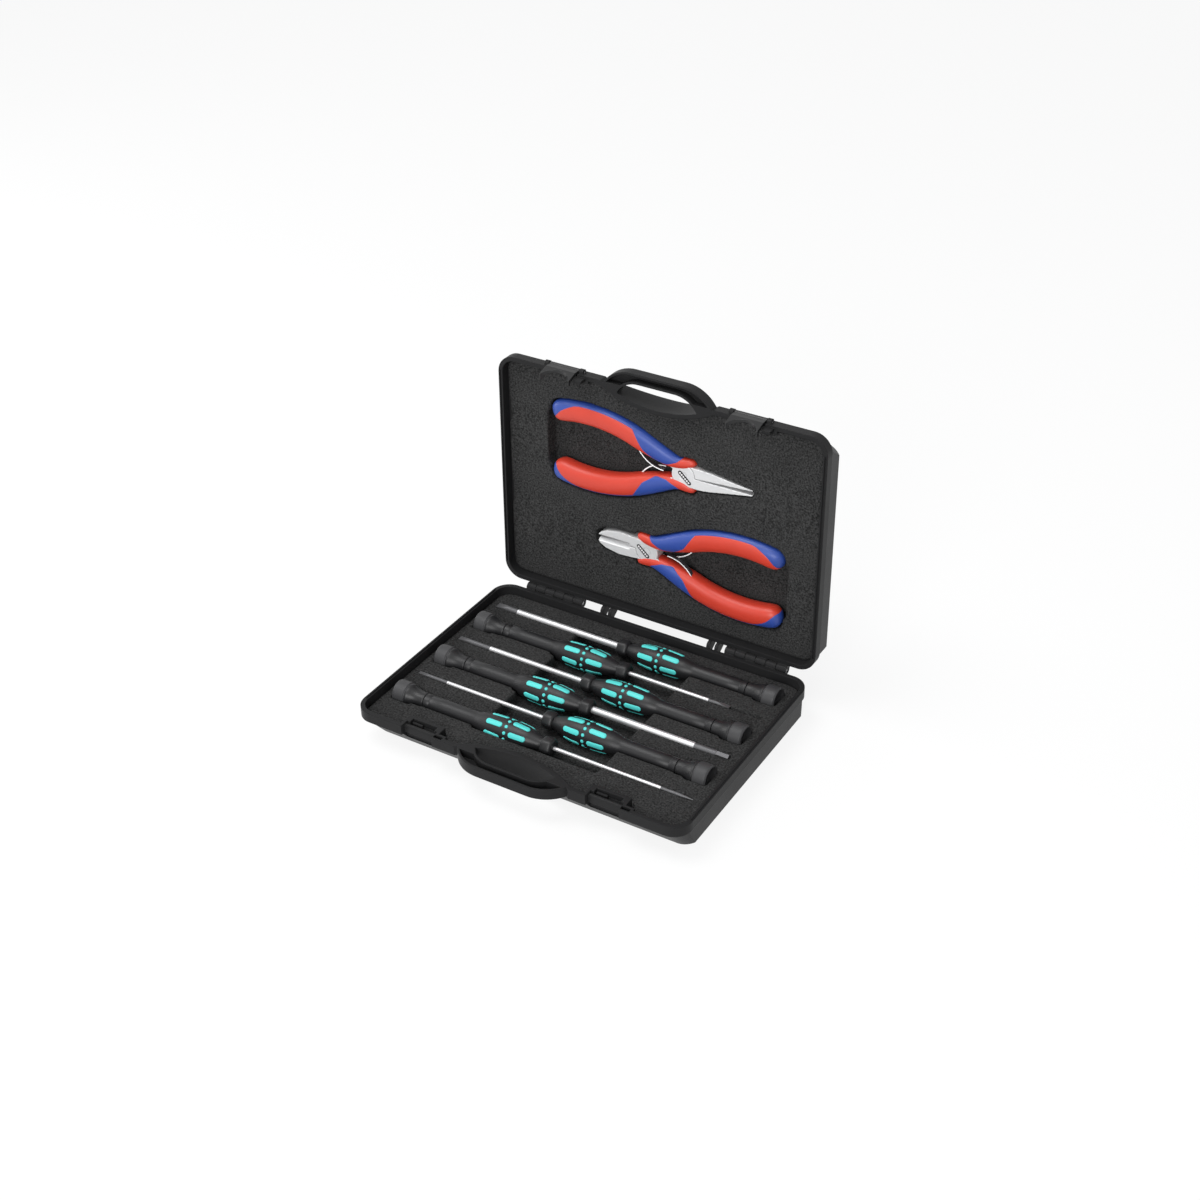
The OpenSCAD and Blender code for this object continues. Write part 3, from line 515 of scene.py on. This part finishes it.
# %% [markdown]
# ## Foam inserts
# The real inserts are die-cut from closed-cell foam, so their pockets have soft lips and no edge
# is truly sharp. A voxel remesh of the CAD insert, a little smoothed, gives just that. The forged
# halves of the pliers further down are made in the same way, on a finer grid.


# %% Foam inserts
SMOOTH_ROUNDS, SMOOTH_FACTOR = 2, 0.5
FOAM_VOXEL, STEEL_VOXEL = 0.85 * MM, 0.2 * MM


def soft_copy(node, name, body, voxel, material, sharp):
    """A CAD solid again, with its edges a little rounded."""
    bm = bmesh.new()
    bm.from_mesh(NODES[node].data)
    bmesh.ops.remove_doubles(bm, verts=bm.verts[:], dist=2 * WELD)
    raw = bpy.data.meshes.new(name + "_raw")
    bm.to_mesh(raw)
    bm.free()
    rough = bpy.data.objects.new(name + "_raw", raw)
    scene.collection.objects.link(rough)
    remesh = rough.modifiers.new("voxels", "REMESH")
    remesh.mode = "VOXEL"
    remesh.voxel_size = voxel
    soften = rough.modifiers.new("soften", "SMOOTH")
    soften.factor = SMOOTH_FACTOR
    soften.iterations = SMOOTH_ROUNDS
    bpy.context.view_layer.update()
    evaluated = rough.evaluated_get(bpy.context.evaluated_depsgraph_get())
    ready = bpy.data.meshes.new_from_object(evaluated)
    bpy.data.objects.remove(rough)
    bm = bmesh.new()
    bm.from_mesh(ready)
    piece = make_piece(bm, name, material, body, [node], sharp=sharp)
    print(name, "faces", len(piece.data.polygons))
    return piece


for side in ("base", "lid"):
    insert = soft_copy(side + "_foam", "foam_insert_" + side, side, FOAM_VOXEL, foam_skin,
                       sharp=80)

# %% [markdown]
# ## Screwdriver handles
# A handle is turned about its axis: neck, full grip, slim barrel and a cap flared like a mushroom
# are spun profiles. The collar in front of them is a hexagon with broken edges, so that the tool
# doesn't roll. The soft pads are flat lozenges bent round the grip.

# %% Screwdriver sizes, read from the solids
def driver_frame(i):
    """Side the handle points to, X of the cap's end, and Y and Z of the axis."""
    low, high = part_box(f"driver_{i}_blade")
    cap_low, cap_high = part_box(f"driver_{i}_cap")
    side = 1 if i % 2 else -1
    end = cap_high[0] if side > 0 else cap_low[0]
    return side, end, (low[1] + high[1]) / 2, (low[2] + high[2]) / 2


# Distance in from the cap's end and radius, in millimetres: neck, curved grip, straight barrel
NECK = [(89.6, 0), (89.6, 3.4)]
GRIP = [(88.0, 3.5), (84, 4.6), (79.5, 5.85), (74, 6.4), (67, 6.5), (60, 6.2), (54.5, 5.6),
        (51.5, 4.9), (49, 4.35), (45, 4.2)]
BARREL = [(30, 4.2), (22.2, 4.2), (22, 4.05), (21.6, 4.05), (21.4, 4.2), (18.4, 4.2),
          (18.2, 3.9), (18.2, 0)]
CAP = ((18.0, 0), (18.0, 4.0), (17.8, 4.2), (15, 4.3), (12.5, 4.75), (10.5, 5.5), (9.0, 6.2),
       (8.2, 6.35), (7.8, 6.1), (7.4, 6.2), (7.0, 6.55), (6.4, 6.6), (1.7, 6.6), (0.9, 6.4),
       (0.3, 5.9), (0.5, 5.4), (1.2, 4.8), (1.4, 0))
# Length of the grey band at the end of the cap
BAND = 7.7
COLLAR_AT, COLLAR_LENGTH, COLLAR_RADIUS, COLLAR_BEVEL = 91.8, 6.4, 5.3, 1.5
# Two rings of six pads, the second turned by half a step, and two rings of dots between them:
# distance in from the cap's end, length, width and first angle
PAD_RINGS = ((76.3, 9.6, 2.8, 0), (61.9, 9.6, 2.8, 30), (69.2, 1.8, 1.8, 0), (69.2, 1.8, 1.8, 30))
PADS_PER_RING, PAD_HEIGHT, PAD_SUNK, PAD_CUTS = 6, 0.75, 0.35, 6
# The part of a pad's height that its upper edge is broken by
PAD_EDGE = 0.45
# How much each span of the grip's outline eases in and out, where 0 is straight
GRIP_EASE = 0.3


def grip_radius(distance):
    """Radius of the handle at a distance from the cap's end."""
    for (a, ra), (b, rb) in zip(GRIP, GRIP[1:]):
        if b <= distance <= a:
            t = (a - distance) / (a - b)
            t = t * t * (3 - 2 * t) * GRIP_EASE + t * (1 - GRIP_EASE)
            return ra + (rb - ra) * t
    return GRIP[-1][1]


def driver_body(i):
    side, end, y, z = driver_frame(i)
    bm = bmesh.new()
    outline = NECK + smooth_through(GRIP, 4) + BARREL
    spin_profile(bm, [(end - side * d * MM, r * MM) for d, r in outline], y, z)
    collar = bmesh.ops.create_cone(bm, cap_ends=True, segments=6, radius1=COLLAR_RADIUS * MM,
                                   radius2=COLLAR_RADIUS * MM, depth=COLLAR_LENGTH * MM)["verts"]
    turn = Matrix.Rotation(math.radians(90), 4, "Y")
    bmesh.ops.transform(bm, matrix=turn, verts=collar)
    bmesh.ops.translate(bm, vec=(end - side * COLLAR_AT * MM, y, z), verts=collar)
    edges = list({e for v in collar for e in v.link_edges})
    bmesh.ops.bevel(bm, geom=edges, offset=COLLAR_BEVEL * MM, segments=4, profile=0.5,
                    affect="EDGES", material=-1, clamp_overlap=True)
    make_piece(bm, f"driver_{i}_body", handle_plastic, f"driver_{i}",
               [f"driver_{i}_handle"], sharp=50)


def driver_cap(i):
    side, end, y, z = driver_frame(i)
    bm = bmesh.new()
    curved = [CAP[0], CAP[1]] + smooth_through(CAP[2:-1], 3) + [CAP[-1]]
    spin_profile(bm, [(end - side * d * MM, r * MM) for d, r in curved], y, z)
    cap = make_piece(bm, f"driver_{i}_turning_cap", cap_plastic, f"driver_{i}_cap",
                     [f"driver_{i}_cap"], sharp=60)
    # The flare in front of the grey band has the barrel's darker plastic
    cap.data.materials.append(handle_plastic)
    for face in cap.data.polygons:
        face.material_index = int(abs(end - face.center.x) > BAND * MM)


def lozenge(bm, length, width, height):
    """A flat pad with round ends and a broken upper edge, lying on z = 0."""
    verts = bmesh.ops.create_circle(bm, cap_ends=True, segments=20, radius=width / 2)["verts"]
    stretch = (length - width) / 2
    for v in verts:
        v.co.x += stretch if v.co.x > 1e-9 else -stretch
    faces = list({f for v in verts for f in v.link_faces})
    top = bmesh.ops.extrude_face_region(bm, geom=faces)["geom"]
    raised = [g for g in top if isinstance(g, bmesh.types.BMVert)]
    bmesh.ops.translate(bm, vec=(0, 0, height), verts=raised)
    rim = [g for g in top if isinstance(g, bmesh.types.BMEdge)]
    bmesh.ops.bevel(bm, geom=rim, offset=height * PAD_EDGE, segments=2, profile=0.5,
                    affect="EDGES", material=-1, clamp_overlap=True)
    # Cuts across let the pad bend along the grip
    for k in range(1, PAD_CUTS):
        cut = -length / 2 + length * k / PAD_CUTS
        bmesh.ops.bisect_plane(bm, geom=bm.verts[:] + bm.edges[:] + bm.faces[:],
                               plane_co=(cut, 0, 0), plane_no=(1, 0, 0))


def driver_pads(i):
    side, end, y, z = driver_frame(i)
    bm = bmesh.new()
    for distance, length, width, start in PAD_RINGS:
        for k in range(PADS_PER_RING):
            pad = bmesh.new()
            lozenge(pad, length * MM, width * MM, PAD_HEIGHT * MM)
            for v in pad.verts:
                along = distance * MM + v.co.x
                radius = grip_radius(along / MM) * MM
                angle = math.radians(start + 360 / PADS_PER_RING * k) + v.co.y / radius
                lift = radius + v.co.z - PAD_SUNK * MM
                v.co = (end - side * along, y + lift * math.sin(angle), z + lift * math.cos(angle))
            part = bpy.data.meshes.new("pad")
            pad.to_mesh(part)
            pad.free()
            bm.from_mesh(part)
            bpy.data.meshes.remove(part)
    make_piece(bm, f"driver_{i}_pads", grip_teal, f"driver_{i}",
               [f"driver_{i}_grip"], sharp=50)


for i in range(1, 7):
    driver_body(i)
    driver_cap(i)
    driver_pads(i)
print("screwdrivers dressed")

# %% [markdown]
# ## Plier sleeves
# Each handle is a soft sleeve in two colours, round in section and bent like a banana, with a
# small guard at the front. It is lofted: rings of one shape are set along a curve, each with its
# own width and thickness, and bridged. The blue zones are a signed distance stored on the
# vertices, so the shader can draw a clean line between the colours, with a fine groove in it.

# %% The two-colour rubber
def two_colour(name, red, blue):
    mat, tree, bsdf = start_material(name, red, 0.4)
    edge = tree.nodes.new("ShaderNodeAttribute")
    edge.attribute_name = "blue_edge"
    distance = edge.outputs["Fac"]
    # Both work on millimetres from the line between the colours
    mask = maths(tree, "MULTIPLY_ADD", distance, 6.0, 0.5, clamp=True)
    groove = maths(tree, "MULTIPLY", maths(tree, "ABSOLUTE", distance), 3.5, clamp=True)
    tones = []
    for color in (red, blue):
        node = add_group(tree, wear, Color=(*color, 1), Amount=0.16, Scale=120.0)
        tones.append(node.outputs["Color"])
    tree.links.new(mix_colors(tree, mask, *tones), bsdf.inputs["Base Color"])
    skin = add_group(tree, grain, Scale=1500.0, Roughness=0.42, Vary=0.12)
    tree.links.new(skin.outputs["Roughness"], bsdf.inputs["Roughness"])
    height = maths(tree, "MULTIPLY_ADD", skin.outputs["Height"], 0.12, groove)
    add_bump(tree, bsdf, height, 0.6, 0.2 * MM)
    return mat


sleeve_rubber = two_colour("sleeve_rubber", (0.54, 0.040, 0.020), (0.022, 0.058, 0.29))


def polygon_distance(x, y, corners):
    """Distance to a closed outline, positive inside."""
    best, inside = 1e9, False
    for (ax, ay), (bx, by) in zip(corners, corners[1:] + corners[:1]):
        ex, ey = bx - ax, by - ay
        t = max(0, min(1, ((x - ax) * ex + (y - ay) * ey) / (ex * ex + ey * ey)))
        best = min(best, math.hypot(x - ax - t * ex, y - ay - t * ey))
        if (ay > y) != (by > y) and x < (bx - ax) * (y - ay) / (by - ay) + ax:
            inside = not inside
    return best if inside else -best


# Plan of a handle: u runs back from the pivot, v out from the middle, in millimetres
BEND_U, BEND_V, BEND_R = 57.0, -60.6, 80.0
# The blue stripe starts this far out from the bend's line and runs between these two u
STRIPE_OUT, STRIPE_FROM, STRIPE_TO = 4.5, 24.0, 84.0
WING = [(30, 24), (28, 17.5), (23, 9.5), (16, 4.4), (9.5, 4.3), (3.5, 7.0), (-1, 11), (10, 24)]
TAIL = [(84, 11), (76.5, 14.2), (71.6, 19.6), (65.4, 23.0), (60, 24.2), (60, 32), (84, 32)]


def blue_zone(u, v):
    """Millimetres inside the blue zones: a stripe on the outer edge, the wing and the tail."""
    radial = math.hypot(u - BEND_U, v - BEND_V) - (BEND_R + STRIPE_OUT)
    stripe = min(radial, u - STRIPE_FROM, STRIPE_TO - u)
    return max(stripe, polygon_distance(u, v, WING), polygon_distance(u, v, TAIL))


# The rounded end of a sleeve: where it lies on the bend, its rings and its half sizes, and then
# the rings along the bend
END_DEGREES, END_RINGS = 11.8, (86, 70, 52, 34, 16)
END_WIDE, END_THICK = 6.1, 5.6
BEND_DEGREES = range(-11, 23, 2)
BEND_WIDE, BEND_THICK = 6.15, 5.65
# From the bend to the guard: u, v, half width and half thickness
FRONT = ((24.5, 12.6, 6.1, 5.6), (20, 10.9, 5.75, 5.5), (15, 9.0, 5.2, 5.3),
         (10, 7.2, 4.6, 5.0), (6, 6.3, 3.9, 4.7), (2.5, 6.1, 3.25, 4.4),
         (-0.5, 6.5, 3.0, 4.2), (-3, 7.1, 2.6, 3.9), (-5.2, 7.6, 1.9, 3.2),
         (-6.3, 7.8, 0.9, 2.0), (-6.6, 7.9, 0.2, 0.6))
# Below 1, this makes an ellipse fuller
FULLNESS = 0.8


def sleeve_stations():
    """Rings as (u, v, half width, half thickness), from the rounded end to the guard."""
    def on_bend(degrees):
        a = math.radians(degrees)
        return BEND_U - BEND_R * math.sin(a), BEND_V + BEND_R * math.cos(a)

    end_u, end_v = on_bend(-END_DEGREES)
    tip = math.radians(END_DEGREES)
    stations = []
    for angle in END_RINGS:
        a = math.radians(angle)
        reach = END_WIDE * math.sin(a)
        stations.append((end_u + reach * math.cos(tip), end_v - reach * math.sin(tip),
                         END_WIDE * math.cos(a), END_THICK * math.cos(a)))
    for degrees in BEND_DEGREES:
        stations.append((*on_bend(degrees), BEND_WIDE, BEND_THICK))
    return stations + smooth_through(FRONT, 3)


# How far the lid stands open from shut
LID_DEGREES = 91


def tool_matrix(tool, half):
    """From a tool's own plan to its place in the open lid."""
    joint = [j for j in frame["joints"] if j["name"] == tool + "_squeeze"][0]
    turned = 180 if tool == "cutter" else 0
    opened = Matrix.Rotation(math.radians(-LID_DEGREES), 4, "X")
    place = Matrix.Translation(Vector(joint["pos_m"])) @ opened
    place = place @ Matrix.Rotation(math.radians(turned), 4, "Z")
    if half == "b":
        place = place @ Matrix.Rotation(math.pi, 4, "X")
    return place


def sleeve(tool, half, body):
    bm = bmesh.new()
    edge = bm.verts.layers.float.new("blue_edge")
    stations = sleeve_stations()
    previous = None
    for k, (u, v, wide, thick) in enumerate(stations):
        a, b = stations[max(k - 1, 0)], stations[min(k + 1, len(stations) - 1)]
        heading = math.atan2(b[1] - a[1], b[0] - a[0])
        ring = bmesh.ops.create_circle(bm, cap_ends=False, segments=32, radius=1)["verts"]
        for vert in ring:
            side = math.copysign(abs(vert.co.x) ** FULLNESS, vert.co.x) * wide
            height = math.copysign(abs(vert.co.y) ** FULLNESS, vert.co.y) * thick
            pu, pv = u - side * math.sin(heading), v + side * math.cos(heading)
            vert.co = (-pu * MM, pv * MM, height * MM)
            vert[edge] = blue_zone(pu, pv)
        edges = list({e for vert in ring for e in vert.link_edges})
        if previous:
            bmesh.ops.bridge_loops(bm, edges=previous + edges)
        else:
            bmesh.ops.contextual_create(bm, geom=edges)
        previous = edges
    bmesh.ops.contextual_create(bm, geom=previous)
    bmesh.ops.transform(bm, matrix=tool_matrix(tool, half), verts=bm.verts[:])
    make_piece(bm, f"{tool}_grip_{half}", sleeve_rubber, body,
               [f"{tool}_sleeve_{half}", f"{tool}_inlay_{half}"], sharp=60)


# The forged halves have no razor edges either, so they get the foam's treatment on a finer grid
for tool in ("nose", "cutter"):
    for half, body in (("a", tool), ("b", tool + "_half")):
        sleeve(tool, half, body)
        soft_copy(f"{tool}_steel_{half}", f"{tool}_forging_{half}", body, STEEL_VOXEL,
                  plier_steel, sharp=50)

# %% [markdown]
# ## The strip across each joint
# A slot with a row of small balls crosses the boss that faces out of the foam. The slot is a thin
# plate whose near-black colour is painted shade for its depth. It rides on the second half, whose
# boss that is.

# %% Joint strips
STRIP_LENGTH, STRIP_WIDTH, STRIP_HEIGHT, STRIP_DEGREES = 9.4, 2.3, 0.2, 42
BALLS, BALL_RADIUS, BALL_PITCH, BALL_FLATTEN, BALL_LIFT = 6, 0.62, 1.36, 0.7, 0.1
# The joint's outer face looks out of the foam, at this Z in the tool's own plan
FACE_Z = -3.5
# The slot's near-black colour is painted shade standing in for its depth
slot_painted_shade = steel("slot_painted_shade", (0.02, 0.02, 0.021), 0.5)


def joint_strip(tool, middle):
    bm = bmesh.new()
    lozenge(bm, STRIP_LENGTH * MM, STRIP_WIDTH * MM, STRIP_HEIGHT * MM)
    for k in range(BALLS):
        made = bmesh.ops.create_uvsphere(bm, u_segments=16, v_segments=10,
                                         radius=BALL_RADIUS * MM)
        for v in made["verts"]:
            v.co.x += (k - (BALLS - 1) / 2) * BALL_PITCH * MM
            v.co.z = v.co.z * BALL_FLATTEN + BALL_LIFT * MM
            for face in v.link_faces:
                face.material_index = 1
    place = (tool_matrix(tool, "a") @ Matrix.Translation(Vector((*middle, FACE_Z)) * MM)
             @ Matrix.Rotation(math.radians(STRIP_DEGREES), 4, "Z")
             @ Matrix.Rotation(math.pi, 4, "X"))
    bmesh.ops.transform(bm, matrix=place, verts=bm.verts[:])
    strip = make_piece(bm, tool + "_joint_strip", slot_painted_shade, tool + "_half")
    strip.data.materials.append(plier_steel)


joint_strip("nose", (0.9, 0.9))
joint_strip("cutter", (2.2, -0.4))
print("pliers dressed")

# %% [markdown]
# ## The floor's finish
# The floor is a plain matt white. Camera rays see it a little brighter than it is lit, so that it
# runs into the white background and only the soft shadow shows.

# %% Floor material
FLOOR_SELF_LIT = 0.85
floor_paint, tree, bsdf = start_material("floor_paint", (0.93, 0.93, 0.93), 0.9)
glow = tree.nodes.new("ShaderNodeEmission")
ray = tree.nodes.new("ShaderNodeLightPath")
both = tree.nodes.new("ShaderNodeMixShader")
seen = maths(tree, "ADD", ray.outputs["Is Camera Ray"], ray.outputs["Is Glossy Ray"], clamp=True)
tree.links.new(maths(tree, "MULTIPLY", seen, FLOOR_SELF_LIT), both.inputs["Fac"])
tree.links.new(bsdf.outputs["BSDF"], both.inputs[1])
tree.links.new(glow.outputs["Emission"], both.inputs[2])
tree.links.new(both.outputs["Shader"], tree.nodes["Material Output"].inputs["Surface"])
floor.data.materials.append(floor_paint)
